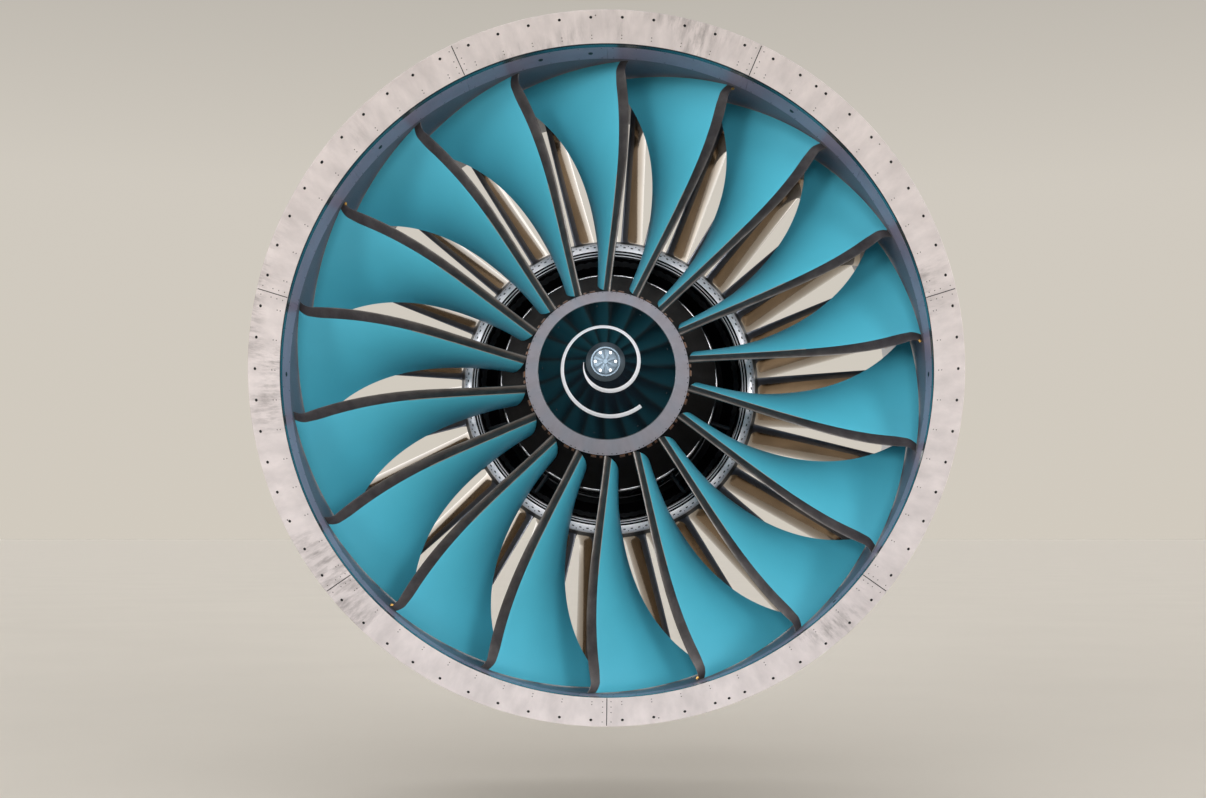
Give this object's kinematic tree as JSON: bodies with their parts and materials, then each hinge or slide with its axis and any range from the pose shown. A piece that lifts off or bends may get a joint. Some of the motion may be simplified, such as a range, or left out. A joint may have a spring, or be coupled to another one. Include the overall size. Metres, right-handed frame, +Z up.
{
  "type": "turbofan engine",
  "caption": "Bare geared turbofan engine with wide swept fan blades, a spinner with a spiral, outlet guide vanes, a flared front ring and a full core.",
  "frame": {"origin": "on the shaft axis, in the plane of the fan case's front flange face", "axes": "-Y forward along the shaft axis, +Z up, +X to the right as seen from the front"},
  "size_m": [3.9422, 5.133, 3.9103],
  "materials": {
    "blade_composite": "satin teal coating over a composite blade",
    "blade_metal_edge": "dark matt titanium sheath",
    "filler_black": "black gloss composite",
    "spinner_paint": "blue-black gloss paint",
    "fairing_grey": "satin grey paint",
    "cap_bright": "polished metal",
    "mark_white": "white paint, satin",
    "forged_titanium": "machined titanium",
    "gear_steel": "ground gear steel",
    "rotor_metal": "machined nickel and titanium alloy",
    "ring_paint": "pale satin metal sheet",
    "bolt_black": "blackened steel",
    "case_alloy": "satin machined alloy",
    "liner_grey": "blue-grey satin liner",
    "vane_metal": "polished metal",
    "frame_metal": "dark grey cast metal",
    "splitter_metal": "polished metal",
    "bearing_steel": "ground bearing steel",
    "hot_alloy": "heat-tinted nickel alloy",
    "exhaust_alloy": "satin nickel alloy",
    "unit_alloy": "satin cast alloy",
    "unit_blue": "blue anodised housings",
    "strut_metal": "machined titanium bar",
    "pipe_metal": "stainless tube"
  },
  "bodies": {
    "static_structure": {"front_ring_segments": "ring_paint", "front_ring_bolts": "bolt_black", "fan_case": "case_alloy", "fan_case_liners": "liner_grey", "outlet_guide_vanes": "vane_metal", "fan_frame": "frame_metal", "splitter_lip": "splitter_metal", "ring_gear": "gear_steel", "shaft_bearings": "bearing_steel", "ip_compressor_case": "case_alloy", "intermediate_case": "frame_metal", "high_compressor_case": "case_alloy", "combustor_case": "hot_alloy", "combustor_liner": "hot_alloy", "fuel_nozzles": "pipe_metal", "turbine_case": "hot_alloy", "exhaust_case": "exhaust_alloy", "exhaust_cone": "exhaust_alloy", "core_nozzle": "exhaust_alloy", "accessory_gearbox": "unit_alloy", "fan_case_units": "unit_blue", "thrust_struts": "strut_metal", "engine_pipes": "pipe_metal"},
    "fan": {"fan_blade_01": "blade_composite", "fan_blade_02": "blade_composite", "fan_blade_03": "blade_composite", "fan_blade_04": "blade_composite", "fan_blade_05": "blade_composite", "fan_blade_06": "blade_composite", "fan_blade_07": "blade_composite", "fan_blade_08": "blade_composite", "fan_blade_09": "blade_composite", "fan_blade_10": "blade_composite", "fan_blade_11": "blade_composite", "fan_blade_12": "blade_composite", "fan_blade_13": "blade_composite", "fan_blade_14": "blade_composite", "fan_blade_15": "blade_composite", "fan_blade_16": "blade_composite", "fan_blade_17": "blade_composite", "fan_blade_18": "blade_composite", "blade_leading_edges": "blade_metal_edge", "annulus_fillers": "filler_black", "fan_disc": "forged_titanium", "nose_cone": "spinner_paint", "nose_cone_fairing": "fairing_grey", "nose_cap": "cap_bright", "spiral_mark": "mark_white", "fan_shaft": "forged_titanium", "planet_carrier": "gear_steel"},
    "planet_1": {"planet_gear_1": "gear_steel"},
    "planet_2": {"planet_gear_2": "gear_steel"},
    "planet_3": {"planet_gear_3": "gear_steel"},
    "planet_4": {"planet_gear_4": "gear_steel"},
    "planet_5": {"planet_gear_5": "gear_steel"},
    "ip_spool": {"sun_gear": "gear_steel", "ip_compressor_rotor": "rotor_metal", "ip_turbine_rotor": "rotor_metal"},
    "high_spool": {"high_compressor_rotor": "rotor_metal", "high_turbine_rotor": "rotor_metal"}
  },
  "joints": [
    {"name": "fan_spin", "type": "hinge", "parent": "static_structure", "child": "fan", "pos_m": [0, 0.4, 0], "axis": [0, 1, 0], "continuous": true},
    {"name": "ip_spin", "type": "hinge", "parent": "static_structure", "child": "ip_spool", "pos_m": [0, 1.7, 0], "axis": [0, 1, 0], "continuous": true},
    {"name": "high_spin", "type": "hinge", "parent": "static_structure", "child": "high_spool", "pos_m": [0, 2.5, 0], "axis": [0, 1, 0], "continuous": true},
    {"name": "planet_1_spin", "type": "hinge", "parent": "fan", "child": "planet_1", "pos_m": [0, 1.015, 0.25], "axis": [0, 1, 0], "continuous": true},
    {"name": "planet_2_spin", "type": "hinge", "parent": "fan", "child": "planet_2", "pos_m": [0.23776, 1.015, 0.07725], "axis": [0, 1, 0], "continuous": true},
    {"name": "planet_3_spin", "type": "hinge", "parent": "fan", "child": "planet_3", "pos_m": [0.14695, 1.015, -0.20225], "axis": [0, 1, 0], "continuous": true},
    {"name": "planet_4_spin", "type": "hinge", "parent": "fan", "child": "planet_4", "pos_m": [-0.14695, 1.015, -0.20225], "axis": [0, 1, 0], "continuous": true},
    {"name": "planet_5_spin", "type": "hinge", "parent": "fan", "child": "planet_5", "pos_m": [-0.23776, 1.015, 0.07725], "axis": [0, 1, 0], "continuous": true}
  ],
  "couplings": [
    {"joint": "ip_spin", "follows": "fan_spin", "ratio": 4},
    {"joint": "planet_1_spin", "follows": "fan_spin", "ratio": -3},
    {"joint": "planet_2_spin", "follows": "fan_spin", "ratio": -3},
    {"joint": "planet_3_spin", "follows": "fan_spin", "ratio": -3},
    {"joint": "planet_4_spin", "follows": "fan_spin", "ratio": -3},
    {"joint": "planet_5_spin", "follows": "fan_spin", "ratio": -3}
  ]
}
